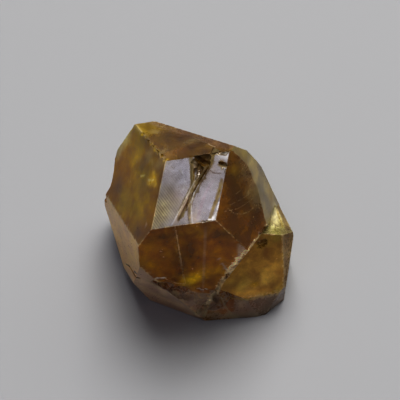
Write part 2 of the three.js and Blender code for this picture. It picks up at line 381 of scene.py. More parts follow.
LOOKS = {
    Face.CROWN: look((0.3, 0.24, 0.18), 0.25, 0.5, sheen=0.85, mottle=0.6),
    Face.LEFT: look((0.29, 0.12, 0.001), 0.36, 0.66, mottle=0.8),
    Face.TOP: look((0.24, 0.11, 0.014), 0.14, 0.55),
    Face.FRONT: look((0.5, 0.18, 0.004), 0.09, 0.52),
    Face.RIGHT: look((0.29, 0.11, 0.004), 0.1, 0.52),
    # The left strip and the left foot are paler than the body: painted reflection of the floor seen at a
    # grazing angle.
    Face.LEFT_STRIP: look((0.88, 0.52, 0.17), 0.3, 0.75, mottle=0.25),
    Face.LEFT_FOOT: look((0.66, 0.45, 0.3), 0.3, 0.7, mottle=0.4),
    Face.SHOULDER_HIGH: look((0.36, 0.26, 0.08), 0.3, 0.55, sheen=0.05),
    Face.SHOULDER_MID: look((0.36, 0.26, 0.08), 0.3, 0.55, sheen=0.05),
    Face.SHOULDER_LOW: look((0.34, 0.23, 0.06), 0.3, 0.55, sheen=0.05),
    Face.PARTING: look((0.7, 0.39, 0.09), 0.14, 0.66, mottle=0.7),
    Face.MARGIN: look((0.42, 0.25, 0.08), 0.25, 0.55),
    # The notch is paler than the faces beside it: painted light where the key lamp falls on it.
    Face.NOTCH: look((0.38, 0.31, 0.12), 0.25, 0.65),
    Face.FRACTURE: look((0.3, 0.22, 0.1), 0.4, 0.6),
    # The slipped foot and toe are dull plum-grey: painted reflection of the shaded floor under the
    # crystal.
    Face.SLIPPED_FOOT: look((0.32, 0.23, 0.17), 0.2, 0.75, mottle=0.6),
    Face.SLIPPED_TOE: look((0.26, 0.18, 0.14), 0.2, 0.75, mottle=0.6),
    Face.SLIPPED_SIDE: look((0.36, 0.24, 0.1), 0.3, 0.55),
    # The left sliver is pinkish-lavender: painted reflection of the floor.
    Face.LEFT_SLIVER: look((0.6, 0.46, 0.42), 0.3, 0.7, sheen=0.2, mottle=0.4),
}
HIDDEN = look((0.36, 0.18, 0.018), 0.14, 0.45)
# The vein is pale of its own, and its tone is raised further as painted light, because it faces away from
# the lamps.
VEIN = look((1, 0.82, 0.52), 0.6, 0.97)
GRIT = look((0.4, 0.25, 0.09), 0.6, 0.85)
# Mauve and ash: painted reflection of the shaded floor on the crystal's foot.
MAUVE_PAINTED_REFLECTION = look((0.5, 0.37, 0.31), 0.35, 0.85, mottle=0.6)
ASH_PAINTED_REFLECTION = look((0.46, 0.39, 0.27), 0.35, 0.85, mottle=0.6)
MOSS = look((0.26, 0.16, 0.006), 0.34, 0.75)
RIM = look((0.5, 0.43, 0.2), 0.4, 0.75)
FIBRE = look((0.6, 0.5, 0.32), 0.5, 0.85)
# Pale wear on edges and scratches, and a painted sparkle along the right face's veil.
WEAR_AND_PAINTED_SPARKLE = look((0.75, 0.58, 0.32), 0.45, 0.8)
# Painted glow: yellow light inside the crystal, drawn into its colour.
PAINTED_GLOW = look((0.95, 0.58, 0.015), 0.25, 0.75)
# Pale lime: painted light on the notch's broken surfaces, and a pale flaw on the left face.
PALE_FLAW_AND_PAINTED_LIGHT = look((0.92, 0.84, 0.4), 0.4, 0.88)
OLIVE = look((0.48, 0.3, 0.006), 0.34, 0.66, mottle=0.8)
# Dark brown: dark cracks and blots, and painted shade pooled under the crown and in the chips' hollows.
DARK_BROWN_AND_PAINTED_SHADE = look((0.08, 0.025, 0.004), 0.25, 0.5)
# Rust-red: reddish blots on the top, and painted shade in a chip's hollow on the front.
RUST_RED_AND_PAINTED_SHADE = look((0.25, 0.095, 0.03), 0.2, 0.5)
# Plum: plum bands and broken spots, and painted reflection of the shaded floor low on the front and
# margin.
PLUM_AND_PAINTED_REFLECTION = look((0.25, 0.17, 0.13), 0.3, 0.75, mottle=0.6)
# Painted amber glow near the parting's foot.
PAINTED_AMBER_GLOW = look((1, 0.66, 0.17), 0.25, 0.78)
# Painted glint: white catches of light on the chips' ledges.
PAINTED_GLINT = look((1, 0.98, 0.92), 0.4, 1, sheen=1)
# Pale straw: painted light where the notch catches the lamp.
PAINTED_LIGHT_STRAW = look((0.62, 0.56, 0.34), 0.35, 0.85)
FERN = look((0.245, 0.211, 0.048), 0.25, 0.68)
DUSK = look((0.2, 0.125, 0.05), 0.3, 0.6, mottle=0.8)
RIB = look((0.3, 0.22, 0.11), 0.4, 0.75, sheen=0.1)
# Pale tan: painted highlight on the ribs' flanks, and a pale seam and crack.
PALE_LINE_AND_RIB_HIGHLIGHT = look((0.6, 0.46, 0.32), 0.4, 0.75, sheen=0.4)
HAZE = look((0.46, 0.35, 0.17), 0.45, 0.7, sheen=0.05)
# Lavender-white painted reflection on the left strip.
PAINTED_LAVENDER_REFLECTION = look((0.6, 0.48, 0.47), 0.35, 0.8, sheen=0.3, mottle=0.3)
# Painted highlight: white catches of light on the crown.
PAINTED_HIGHLIGHT = look((0.98, 0.94, 0.86), 0.4, 0.97, sheen=1)
# Painted reflection of blue and rose light in the crown's sheen.
PAINTED_SKY_REFLECTION = look((0.4, 0.4, 0.5), 0.22, 0.6, sheen=1, mottle=0.5)
PAINTED_ROSE_REFLECTION = look((0.4, 0.27, 0.27), 0.25, 0.55, sheen=0.8, mottle=0.5)
# Pale cracks, and painted glints as short dots on the front.
CRACK_AND_PAINTED_GLINT = look((0.8, 0.55, 0.34), 0.5, 0.9)
STRIATED = look((0.4, 0.31, 0.1), 0.4, 0.65, sheen=0.4, lines=1)
BROKEN = look((0.3, 0.16, 0.03), 0.25, 0.45)
CHIPPED = look((0.4, 0.29, 0.22), 0.3, 1, mottle=0.6)
# The notch's broken surfaces are lightened with painted light.
BROKEN_ON = {
    Face.CROWN: RIB, Face.NOTCH: PALE_FLAW_AND_PAINTED_LIGHT, Face.LEFT: OLIVE, Face.LEFT_STRIP: PLUM_AND_PAINTED_REFLECTION,
    **dict.fromkeys((Face.FRONT, Face.LEFT_FOOT, Face.FRACTURE), CHIPPED),
    **dict.fromkeys((Face.SLIPPED_FOOT, Face.SLIPPED_TOE), CHIPPED),
}

PATCHES = [
    # Left: olive and a painted glow in the middle, brown pools, moss and a pale rim towards its outer
    # edge.
    Patch(Face.LEFT, OLIVE, (-2, -0.8), (4.2, 3), 60, 0.9),
    Patch(Face.LEFT, PAINTED_GLOW, (0, 1.8), (1.8, 1.1), 60, 0.7),
    Patch(Face.LEFT, OLIVE, (-3.2, -8.1), (3.4, 2.6), 40, 0.85),
    Patch(Face.LEFT, OLIVE, (2.4, -2.7), (3.4, 2.4), 40, 0.5),
    Patch(Face.LEFT, DARK_BROWN_AND_PAINTED_SHADE, (-8.1, -10), (2.8, 1.4), 35, 0.6),
    Patch(Face.LEFT, DARK_BROWN_AND_PAINTED_SHADE, (-4.9, -0.7), (1.2, 0.8), 20, 0.45),
    Patch(Face.LEFT, DARK_BROWN_AND_PAINTED_SHADE, (5.4, -4.4), (3, 2.4), 30, 0.6),
    Patch(Face.LEFT, OLIVE, (-9.5, -2.5), (4.5, 3), 30, 0.5),
    Patch(Face.LEFT, MOSS, (-10.5, 0.5), (3, 2.4), 30, 0.7, spills=True),
    Patch(Face.LEFT, RIM, (-15.6, -9), (1.8, 1.6), 0, 0.8, spills=True),
    Patch(Face.LEFT, RIM, (-15.7, -5.6), (1.3, 2.2), 0, 0.85, spills=True),
    Patch(Face.LEFT, RIM, (-15.6, -2), (1.2, 2.2), 0, 0.7, spills=True),
    Patch(Face.LEFT, HAZE, (-0.5, 5.6), (1.8, 1), 60, 0.5, spills=True),
    Patch(Face.LEFT, HAZE, (-5, 2.2), (1.8, 1), 60, 0.5, spills=True),
    # Left strip: a painted lavender reflection below its crack.
    Patch(Face.LEFT_STRIP, PAINTED_LAVENDER_REFLECTION, (-2.6, -20.3), (4, 2), 38, 0.6),
    # Top: olive at its left end, rust and dark blots, haze by the corner of the crown.
    Patch(Face.TOP, MOSS, (4, -12), (4.4, 2.8), -70, 0.95, spills=True),
    Patch(Face.TOP, HAZE, (5, 0.5), (1.8, 1.3), 30, 0.6),
    Patch(Face.TOP, HAZE, (3, -8.4), (1.4, 0.5), -70, 0.5),
    Patch(Face.TOP, RUST_RED_AND_PAINTED_SHADE, (2, 1.6), (1.8, 1.1), 0, 0.7),
    Patch(Face.TOP, DARK_BROWN_AND_PAINTED_SHADE, (2.7, 0.2), (1.2, 0.6), 20, 0.5),
    Patch(Face.TOP, DARK_BROWN_AND_PAINTED_SHADE, (1.2, -5.2), (3.4, 1), -70, 0.45),
    Patch(Face.TOP, HAZE, (-0.9, -0.8), (1.5, 0.9), 0, 0.5),
    Patch(Face.TOP, DARK_BROWN_AND_PAINTED_SHADE, (-2.3, 1.5), (1.4, 0.8), 0, 0.5),
    # Front: painted shade pooled under the crown, a painted yellow glow above the chips, pale rubble in
    # their midst.
    Patch(Face.FRONT, DARK_BROWN_AND_PAINTED_SHADE, (-6.3, 3), (2, 1.3), 0, 0.65),
    Patch(Face.FRONT, DARK_BROWN_AND_PAINTED_SHADE, (3.3, 2.7), (3.4, 1.7), -10, 0.65),
    Patch(Face.FRONT, PAINTED_GLOW, (-1, 4.6), (2.6, 1.6), 0, 0.2),
    Patch(Face.FRONT, DARK_BROWN_AND_PAINTED_SHADE, (-2.6, -3), (2.4, 1.8), 0, 0.35),
    Patch(Face.FRONT, PAINTED_GLOW, (-2, -10.6), (1.7, 1.6), 0, 1),
    Patch(Face.FRONT, PAINTED_GLOW, (3, -8.5), (3.4, 1.8), 15, 0.25),
    Patch(Face.FRONT, PAINTED_GLOW, (-8.5, -4.2), (2.2, 2.6), 0, 0.2),
    Patch(Face.FRONT, CHIPPED, (-1.6, -17.9), (8, 2.8), -30, 1, spills=True),
    # The chips' hollows are darkened with painted shade.
    Patch(Face.FRONT, RUST_RED_AND_PAINTED_SHADE, (-7.2, -12.3), (1.5, 1.2), -25, 0.6, spills=True),
    Patch(Face.FRONT, DARK_BROWN_AND_PAINTED_SHADE, (-7, -12.6), (1.2, 0.9), -25, 0.8, spills=True, dent=0.4),
    Patch(Face.FRONT, DARK_BROWN_AND_PAINTED_SHADE, (-4.4, -14.4), (1.2, 1.4), 0, 0.95, spills=True, dent=0.5),
    # Painted reflection of the shaded floor on the foot, in mauve, ash and plum.
    Patch(Face.FRONT, MAUVE_PAINTED_REFLECTION, (-4.7, -17.9), (3.4, 1), -35, 0.7, spills=True),
    Patch(Face.FRONT, ASH_PAINTED_REFLECTION, (-0.5, -22.6), (3.4, 1.6), -25, 0.8, spills=True),
    Patch(Face.FRONT, PLUM_AND_PAINTED_REFLECTION, (1.6, -18.6), (2.6, 1.6), 0, 0.7, spills=True),
    Patch(Face.FRONT, ASH_PAINTED_REFLECTION, (4, -24), (4, 1.6), 0, 0.8, spills=True),
    Patch(Face.FRONT, PLUM_AND_PAINTED_REFLECTION, (10.8, -20.9), (4.4, 2.8), 5, 0.5, spills=True),
    Patch(Face.FRONT, ASH_PAINTED_REFLECTION, (7.4, -25), (4.4, 1.2), 5, 0.6, spills=True),
    # Right: a hazy veil by the shoulder, darkest by the fracture.
    Patch(Face.RIGHT, OLIVE, (1.9, 6.2), (2.2, 1.4), -60, 0.35),
    Patch(Face.RIGHT, DARK_BROWN_AND_PAINTED_SHADE, (-0.5, 3.8), (2.4, 1.6), -60, 0.25),
    Patch(Face.RIGHT, HAZE, (4.9, 0.4), (3, 1.7), -60, 0.8, spills=True),
    Patch(Face.RIGHT, HAZE, (3.7, -1.7), (2.4, 1.4), -60, 0.65, spills=True),
    Patch(Face.RIGHT, HAZE, (4.6, 4.4), (2.8, 1.4), -60, 0.5, spills=True),
    Patch(Face.RIGHT, DARK_BROWN_AND_PAINTED_SHADE, (1.5, -3.9), (2.4, 1.7), 0, 0.85),
    Patch(Face.RIGHT, DARK_BROWN_AND_PAINTED_SHADE, (-4.4, -2.9), (3.2, 2.2), 20, 0.8),
    # Shoulder: olive towards its foot.
    Patch(Face.SHOULDER_LOW, OLIVE, (6.4, -9.1), (3, 2.4), 60, 0.45, spills=True),
    # Parting: a painted glow near its foot, with a painted bright spot.
    Patch(Face.PARTING, PAINTED_AMBER_GLOW, (5.8, -17.6), (4, 2), 5, 0.6),
    Patch(Face.PARTING, PAINTED_GLOW, (7, -17.3), (0.7, 0.5), 0, 0.9),
    Patch(Face.PARTING, DARK_BROWN_AND_PAINTED_SHADE, (9.2, -10.5), (2.8, 3.2), 0, 0.5),
    # Margin: haze above, plum below as painted reflection of the shaded floor.
    Patch(Face.MARGIN, HAZE, (5.8, -8.4), (1.4, 3), 0, 0.5),
    Patch(Face.MARGIN, PLUM_AND_PAINTED_REFLECTION, (7.1, -14.4), (1.6, 3), 0, 0.5),
    # Notch: pale above with painted light, green and darker towards its foot.
    Patch(Face.NOTCH, PAINTED_LIGHT_STRAW, (-7.5, -14.3), (2.4, 1.5), 117, 1, spills=True),
    Patch(Face.NOTCH, FERN, (-10.7, -8.9), (2.6, 1.6), 117, 0.9, spills=True),
    # Crown: painted blue and rose reflection in its sheen, striae on its lower left, a brown pit, a
    # painted highlight on the far corner.
    Patch(Face.CROWN, PAINTED_SKY_REFLECTION, (-2.2, 2.8), (1.5, 2.6), 10, 0.6),
    Patch(Face.CROWN, PAINTED_ROSE_REFLECTION, (-2.7, -0.2), (1.6, 1), 20, 0.5),
    Patch(Face.CROWN, PAINTED_SKY_REFLECTION, (1.8, -0.4), (1.2, 3), -18, 0.3),
    Patch(Face.CROWN, PAINTED_SKY_REFLECTION, (3.4, -0.6), (0.8, 2.4), -15, 0.4),
    Patch(Face.CROWN, STRIATED, (-4.6, -3.2), (4.6, 2.4), 70, 0.95),
    Patch(Face.CROWN, BROKEN, (0.85, 5), (1.2, 1.8), 0, 0.9, spills=True),
    Patch(Face.CROWN, PALE_LINE_AND_RIB_HIGHLIGHT, (0.8, -3.4), (0.7, 1.5), 0, 0.6),
    Patch(Face.CROWN, PAINTED_HIGHLIGHT, (4, 6.7), (0.7, 0.6), 0, 0.8),
    Patch(Face.CROWN, PAINTED_HIGHLIGHT, (3.5, -2.8), (0.5, 0.5), 0, 0.9),
]

STREAKS = [
    # Notch: its dusky outer side, and the dark line along it.
    Streak(
        Face.NOTCH, DUSK, [(-7, -17.5), (-8.9, -15.3), (-10.3, -13.6), (-11.9, -11.6)],
        0.62, 0.9, 0.25,
    ),
    Streak(
        Face.NOTCH, MOSS, [(-7.5, -16), (-8.6, -14.5), (-9.8, -13), (-11, -11.3)],
        0.13, 0.8, 0.4,
    ),
    # Crown: two ribs that cross, with painted highlight and shade along their flanks, and the groove on
    # the right with a painted highlight on its shoulder.
    Streak(Face.CROWN, RIB, [(2.3, 7.4), (1.15, 4.8), (0.4, 2.8), (-0.1, 1.5)], 0.5, 1, 0.1),
    Streak(Face.CROWN, PALE_LINE_AND_RIB_HIGHLIGHT, [(-0.1, 1.5), (-0.6, -0.1), (-1.25, -1.9), (-2.25, -5.2)], 0.35, 0.9),
    Streak(Face.CROWN, DARK_BROWN_AND_PAINTED_SHADE, [(0.2, 1.3), (-0.35, -0.1), (-1, -1.9), (-1.6, -3.9)], 0.14, 0.7),
    Streak(Face.CROWN, RIB, [(-1.3, 5.8), (-0.75, 3.9), (-0.45, 2.3), (-0.3, 0.8)], 0.4, 1, 0.1),
    Streak(Face.CROWN, DARK_BROWN_AND_PAINTED_SHADE, [(-0.5, -0.1), (-0.7, -1.6), (-0.3, -3), (0, -4.1)], 0.16, 0.7),
    Streak(Face.CROWN, RIB, [(4, 3), (3.8, 1.4), (3.5, -0.7), (3, -3.4)], 0.35, 1, 0.1),
    Streak(Face.CROWN, PAINTED_HIGHLIGHT, [(4.1, -0.4), (3.97, -1.7), (3.5, -3.4)], 0.18, 0.55),
    Streak(Face.CROWN, DARK_BROWN_AND_PAINTED_SHADE, [(1.5, 4.5), (2.6, 3.9), (3.7, 4)], 0.12, 0.6),
    Streak(Face.CROWN, PAINTED_HIGHLIGHT, [(2.9, -3.2), (4.1, -3.1)], 0.18, 0.8, 0),
    Streak(Face.CROWN, PAINTED_HIGHLIGHT, [(0.05, 2.6), (-0.75, 0.4), (-1.35, -1.5), (-2.6, -5)], 0.1, 0.5, 0.5),
    Streak(Face.CROWN, RIB, [(-0.3, 0.8), (-0.45, -1.2), (-0.1, -3), (0.3, -4.4)], 0.2, 0.7, 0.3),
    Streak(Face.CROWN, PAINTED_HIGHLIGHT, [(0.1, 0.6), (-0.1, -1.2), (0.25, -3), (0.6, -4.2)], 0.1, 0.5, 0.5),
    Streak(Face.CROWN, PAINTED_HIGHLIGHT, [(-2.3, 3.4), (-1.7, 2.4), (-1.5, 1.2), (-1.9, 0.2)], 0.09, 0.4, 0.7),
    Streak(Face.CROWN, PAINTED_ROSE_REFLECTION, [(2.6, 2.6), (1.9, 1), (1.5, -1), (1.2, -3.2)], 0.3, 0.6, 0.5),
    # Front: a beaded crack, a dim seam, and painted glints on the ledges of the chips and on the face.
    Streak(Face.FRONT, CRACK_AND_PAINTED_GLINT, [(-4.4, 6), (-3.9, -0.4), (-3.4, -7.2)], 0.13, 0.85, 0.6, dent=0.06),
    Streak(Face.FRONT, CRACK_AND_PAINTED_GLINT, [(-3.4, -7.2), (-2.9, -11.6)], 0.12, 0.35, 0.6),
    Streak(Face.FRONT, PALE_LINE_AND_RIB_HIGHLIGHT, [(0.3, 5.2), (-0.1, -20.7)], 0.3, 0.25, 0.2),
    # Painted glints, as short dots.
    Streak(Face.FRONT, CRACK_AND_PAINTED_GLINT, [(-6.8, -1.2), (-6.6, -1.3)], 0.16, 0.9, 0, dent=0.12),
    Streak(Face.FRONT, CRACK_AND_PAINTED_GLINT, [(-6.4, -2.8), (-6.3, -2.9)], 0.13, 0.8, 0),
    Streak(Face.FRONT, CRACK_AND_PAINTED_GLINT, [(-1.8, -6.9), (-1.7, -7.1)], 0.13, 0.8, 0),
    Streak(
        Face.FRONT, PAINTED_GLINT, [(-8.9, -10.7), (-8.2, -9.8), (-7.5, -9.5), (-6.3, -9.6)],
        0.3, 1, 0.4, dent=0.3,
    ),
    Streak(Face.FRONT, FIBRE, [(-6.3, -9.6), (-5.4, -10.6), (-4.4, -11.4), (-3.2, -11.8)], 0.16, 0.6, 0.5),
    Streak(Face.FRONT, PAINTED_GLINT, [(-0.9, -13.6), (-0.5, -13.7)], 0.22, 1, 0, dent=0.3),
    Streak(Face.FRONT, PAINTED_GLINT, [(-0.25, -14.1), (0.05, -14.2)], 0.24, 1, 0, dent=0.3),
    Streak(Face.FRONT, PAINTED_GLINT, [(0.4, -13.9), (0.65, -14.1)], 0.2, 1, 0, dent=0.25),
    Streak(
        Face.FRONT, FIBRE, [(-9.3, -12.1), (-8.4, -13.6), (-6.4, -15.1), (-4.2, -16.4)],
        0.4, 0.6, 0.4, spills=True,
    ),
    Streak(
        Face.FRONT, FIBRE, [(2.6, -14.2), (2.2, -16.5), (0.9, -19.5), (0, -23.6)],
        0.45, 0.9, 0.4, spills=True,
    ),
    Streak(Face.FRONT, FIBRE, [(3.3, -18.6), (4, -20.8), (5.1, -23.5)], 0.25, 0.7, 0.4, spills=True),
    # Left: a pale flaw in the painted glow.
    Streak(Face.LEFT, PALE_FLAW_AND_PAINTED_LIGHT, [(-0.9, 1), (0.1, 2), (0.6, 2.9)], 0.2, 0.5, 0.7),
    Streak(Face.LEFT, PALE_FLAW_AND_PAINTED_LIGHT, [(-3.6, -1.6), (-2.6, 0)], 0.22, 0.35, 0.7),
    # Left strip: a dark crack in two lengths.
    Streak(Face.LEFT_STRIP, DARK_BROWN_AND_PAINTED_SHADE, [(-4.4, -17.8), (-1.6, -14.9)], 0.16, 0.9, 0.2),
    Streak(Face.LEFT_STRIP, DARK_BROWN_AND_PAINTED_SHADE, [(1, -12.6), (4.1, -9.8)], 0.2, 0.9, 0.2),
    # Top: a plum band under the far edge, a pale crack behind the pit.
    Streak(Face.TOP, PLUM_AND_PAINTED_REFLECTION, [(1.9, -12.3), (-4.7, 6)], 1.2, 0.4, 0.5),
    Streak(Face.TOP, PALE_LINE_AND_RIB_HIGHLIGHT, [(-2.8, 4.4), (-2.4, 2.4)], 0.16, 0.6),
    # Right: a painted sparkle along the veil, a hazy arc and fine scratches.
    Streak(Face.RIGHT, WEAR_AND_PAINTED_SPARKLE, [(4.2, 6.9), (5.2, 5), (6, 2.6)], 0.16, 0.7, 0.9),
    Streak(
        Face.RIGHT, HAZE, [(-3.1, 2.6), (-2.2, 0.8), (-0.8, -0.7), (0.7, -1.6), (2, -2)],
        0.16, 0.4, 0.6,
    ),
    Streak(Face.RIGHT, WEAR_AND_PAINTED_SPARKLE, [(-4.3, 3.1), (-1.1, 0.8), (1.4, -0.2), (2.8, -0.6)], 0.08, 0.45, 0.8),
    Streak(Face.RIGHT, WEAR_AND_PAINTED_SPARKLE, [(-2.4, 2.8), (0, 1.6), (2.3, 0.7)], 0.08, 0.4, 0.9),
    Streak(Face.RIGHT, WEAR_AND_PAINTED_SPARKLE, [(-0.4, 3.2), (0.9, 2.8)], 0.07, 0.4, 0.8),
    # Parting: a pale rim at its foot.
    Streak(Face.PARTING, OLIVE, [(2.8, -19.5), (6.4, -20.9), (11, -20.3)], 0.35, 0.45, 0, spills=True),
]
MARKS = [*PATCHES, *STREAKS]


@dataclass
class WornEdge:
    """The edge where two faces meet, rubbed pale. Width in millimetres."""

    first: Face
    second: Face
    width: float
    strength: float
    broken: float = 1.0
    look: Look = field(default_factory=WEAR_AND_PAINTED_SPARKLE.copy)
    solid: float = 0.3
    waver: Ripple = Ripple(0.3, 3.1)
    cover: Gate = Gate(1.9, -0.35, 0.25)

    def share(self, point: Vector) -> float:
        """How much of the wear shows at a point."""
        off = max(abs(self.first.plane.height(point)), abs(self.second.plane.height(point)))
        if off > 2 * self.width:
            return 0.0
        shown = 1 - self.broken * (1 - self.cover.at(point))
        off += self.width * self.waver.at(point)
        return self.strength * shown * (1 - smoothstep(self.solid * self.width, self.width, off))


WORN_EDGES = [
    WornEdge(Face.LEFT, Face.TOP, 0.35, 0.5, broken=0.2, look=HAZE),
    WornEdge(Face.FRONT, Face.RIGHT, 0.16, 0.8, broken=0.4),
    WornEdge(Face.FRONT, Face.CROWN, 0.14, 0.7),
    WornEdge(Face.LEFT, Face.CROWN, 0.14, 0.7),
    WornEdge(Face.LEFT, Face.LEFT_STRIP, 0.16, 0.7),
    WornEdge(Face.LEFT, Face.FRONT, 0.16, 0.7),
    WornEdge(Face.FRONT, Face.LEFT_FOOT, 0.25, 0.6),
    WornEdge(Face.SHOULDER_LOW, Face.SLIPPED_BACK, 0.2, 0.6),
    WornEdge(Face.SHOULDER_MID, Face.SHOULDER_BACK_LOW, 0.2, 0.6),
    WornEdge(Face.PARTING, Face.SLIPPED_FOOT, 0.2, 0.5),
    WornEdge(Face.PARTING, Face.MARGIN, 0.2, 0.6),
    WornEdge(Face.PARTING, Face.NOTCH, 0.25, 0.8),
]


# ---- the crystal ----

@dataclass
class Vein:
    """The crumbled vein along the lip of the fracture. Sizes are in millimetres."""

    path: list[Vector]
    width: float = 0.85
    least_width: float = 0.6
    bulge: float = 0.9
    bulge_at: float = 0.6
    bulge_reach: float = 0.14
    waver: Ripple = Ripple(0.7, 0.9)
    fray: Ripple = Ripple(0.35, 2.6)
    least_cover: float = 0.4
    clumps: Gate = Gate(1.3, -0.2, 0.15)
    solid: float = 0.6
    grit: Gate = Gate(2.2, 0.05, 0.35)
    relief: float = 0.16
    lumps: Ripple = Ripple(1.0, 3.5)

    def share(self, point: Vector) -> float:
        """How much of the vein shows at a point, from 0 to 1."""
        gap, along = distance_to_path(point, self.path)
        swelling = math.exp(-((along - self.bulge_at) / self.bulge_reach) ** 2)
        width = self.width * (self.least_width + self.bulge * swelling)
        width *= 1 + self.waver.at(point)
        gap += self.fray.at(point)
        clumps = self.least_cover + (1 - self.least_cover) * self.clumps.at(point)
        return clumps * (1 - smoothstep(self.solid * width, width, gap))

    def depth(self, point: Vector, share: float) -> float:
        """How far the vein's crumbling pushes the surface in."""
        return self.relief * share * (0.5 + self.lumps.at(point))


@dataclass
class GarnetCrystal:
    """The whole crystal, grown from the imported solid. Sizes are in millimetres, angles in degrees."""

    edge_wear: float = 0.07
    long_edge: float = 1.2
    shortest_edge: float = 1e-3
    shortest_cut: float = 2e-3
    weld: float = 1e-4
    flat_angle: float = 0.2
    sharp_angle: float = 14.0
    crease_angle: float = 12.0
    cell: float = 0.52
    fine_cell: float = 0.19
    fine_rounds: int = 3
    fine_reach: float = 0.18
    on_face: float = 0.15
    level: float = 0.995
    near_face: float = 1.5
    turn_cost: float = 2.5
    wear_reach: float = 0.3
    wear_share: float = 0.3
    wear_relief: float = 0.03
    wear_cover: Gate = Gate(1.7, -0.2, 0.4)
    face_relief: float = 0.006
    swell: Ripple = Ripple(1.0, 0.35)
    broken_share: float = 0.85
    broken_relief: float = 0.04
    chatter: Ripple = Ripple(0.5, 1.6)

    def __post_init__(self) -> None:
        """Find the centre of growth and the vein's path, the lip of the fracture."""
        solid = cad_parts[CRYSTAL_NODE]
        self.centre = centre_of_growth([v.co.copy() for v in solid.data.vertices])
        front, right = Face.FRONT.plane, Face.RIGHT.plane
        crack = Face.FRACTURE.plane
        self.vein = Vein([
            meet(crack, right, Face.SHOULDER_LOW.plane),
            meet(crack, right, front),
            meet(crack, front, Face.FOOT.plane),
        ])

    def local(self, point: Vector) -> Vector:
        """A point of the frame, in millimetres from the centre of growth."""
        return (point - self.centre) / MM

    def copy_of_solid(self) -> bmesh.types.BMesh:
        """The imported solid's mesh, its loose triangles merged and its flat faces made whole."""
        bm = bmesh.new()
        bm.from_mesh(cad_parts[CRYSTAL_NODE].data)
        bmesh.ops.remove_doubles(bm, verts=bm.verts, dist=self.weld * MM)
        bmesh.ops.dissolve_degenerate(bm, edges=bm.edges, dist=self.shortest_edge * MM)
        bmesh.ops.dissolve_limit(
            bm, angle_limit=math.radians(self.flat_angle), verts=bm.verts, edges=bm.edges,
        )
        return bm

    def sharp_edges(self, bm: bmesh.types.BMesh, shortest: float) -> list[bmesh.types.BMEdge]:
        """The sharp edges that are longer than a length in millimetres."""
        sharp = math.radians(self.sharp_angle)
        return [
            e for e in bm.edges
            if e.calc_length() > shortest * MM and e.calc_face_angle(0.0) > sharp
        ]

    def sharp_edge_tree(self, bm: bmesh.types.BMesh) -> KDTree:
        """A search tree of points along the solid's sharp edges, in local millimetres."""
        points = []
        for e in self.sharp_edges(bm, self.long_edge / 2):
            a, b = (self.local(v.co) for v in e.verts)
            steps = max(2, int((b - a).length / (self.wear_reach / 2)))
            points += [a.lerp(b, i / steps) for i in range(steps + 1)]
        tree = KDTree(len(points))
        for i, p in enumerate(points):
            tree.insert(p, i)
        tree.balance()
        return tree

    def wear_edges(self, bm: bmesh.types.BMesh) -> None:
        """Round the long sharp edges a little, as handling does."""
        bmesh.ops.bevel(
            bm, geom=self.sharp_edges(bm, self.long_edge), offset=self.edge_wear * MM,
            offset_type="OFFSET", segments=2, profile=0.5, affect="EDGES", clamp_overlap=True,
            material=-1,
        )

    def refine(self, bm: bmesh.types.BMesh, edges: KDTree) -> None:
        """Cut the faces into small cells, so that relief and marks have points to sit on."""
        faces = list(bm.faces)
        for axis in range(3):
            reach = CAD_HIGH[axis] - CAD_LOW[axis]
            cells = math.ceil(reach / (self.cell * MM))
            levels = [CAD_LOW[axis] + reach * i / cells for i in range(1, cells)]
            faces = self.slice_faces(bm, faces, axis, levels)
        bmesh.ops.triangulate(bm, faces=bm.faces)
        bmesh.ops.dissolve_degenerate(bm, edges=bm.edges, dist=self.shortest_cut * MM)
        bmesh.ops.triangulate(bm, faces=bm.faces)
        for _ in range(self.fine_rounds):
            close = {v for v in bm.verts if self.is_detailed(self.local(v.co), edges)}
            long_edges = [
                e for e in bm.edges
                if not close.isdisjoint(e.verts) and e.calc_length() > self.fine_cell * MM
            ]
            bmesh.ops.subdivide_edges(bm, edges=long_edges, cuts=1)
            bmesh.ops.triangulate(bm, faces=[f for f in bm.faces if len(f.verts) > 3])
        self.drop_folds(bm)

    def slice_faces(self, bm: bmesh.types.BMesh, faces: list[bmesh.types.BMFace], axis: int,
                    levels: list[float]) -> list[bmesh.types.BMFace]:
        """Cut faces at every level along one axis, the middle level first.

        Args:
            bm: The mesh.
            faces: The faces to cut.
            axis: 0, 1 or 2 for X, Y or Z.
            levels: Where to cut, in rising order.

        Returns:
            The faces and what the cuts made of them.
        """
        if not levels:
            return faces
        middle = len(levels) // 2
        level = levels[middle]
        below, across, above = [], [], []
        for face in faces:
            reach = [v.co[axis] for v in face.verts]
            side = below if max(reach) <= level else above if min(reach) >= level else across
            side.append(face)
        if across:
            edges = dict.fromkeys(e for face in across for e in face.edges)
            corners = dict.fromkeys(v for face in across for v in face.verts)
            normal = Vector((axis == 0, axis == 1, axis == 2))
            cut = bmesh.ops.bisect_plane(
                bm, geom=[*corners, *edges, *across], dist=self.weld * MM,
                plane_co=normal * level, plane_no=normal,
            )
            for face in cut["geom"]:
                if isinstance(face, bmesh.types.BMFace):
                    side = below if face.calc_center_median()[axis] < level else above
                    side.append(face)
        return (self.slice_faces(bm, below, axis, levels[:middle])
                + self.slice_faces(bm, above, axis, levels[middle + 1:]))

    def is_detailed(self, point: Vector, edges: KDTree) -> bool:
        """Whether a point lies where the marks are fine: by an edge, the vein or a streak."""
        if edges.find(point)[2] < self.fine_reach or self.vein.share(point) > 0:
            return True
        return any(streak.gap(point) < streak.width + self.fine_cell for streak in STREAKS)

    def drop_folds(self, bm: bmesh.types.BMesh) -> None:
        """Take out the pairs of faces that lie back to back on the same three points."""
        single, folded = {}, []
        for face in bm.faces:
            corners = frozenset(face.verts)
            if corners in single:
                folded += [face, single.pop(corners)]
            else:
                single[corners] = face
        bmesh.ops.delete(bm, geom=folded, context="FACES")

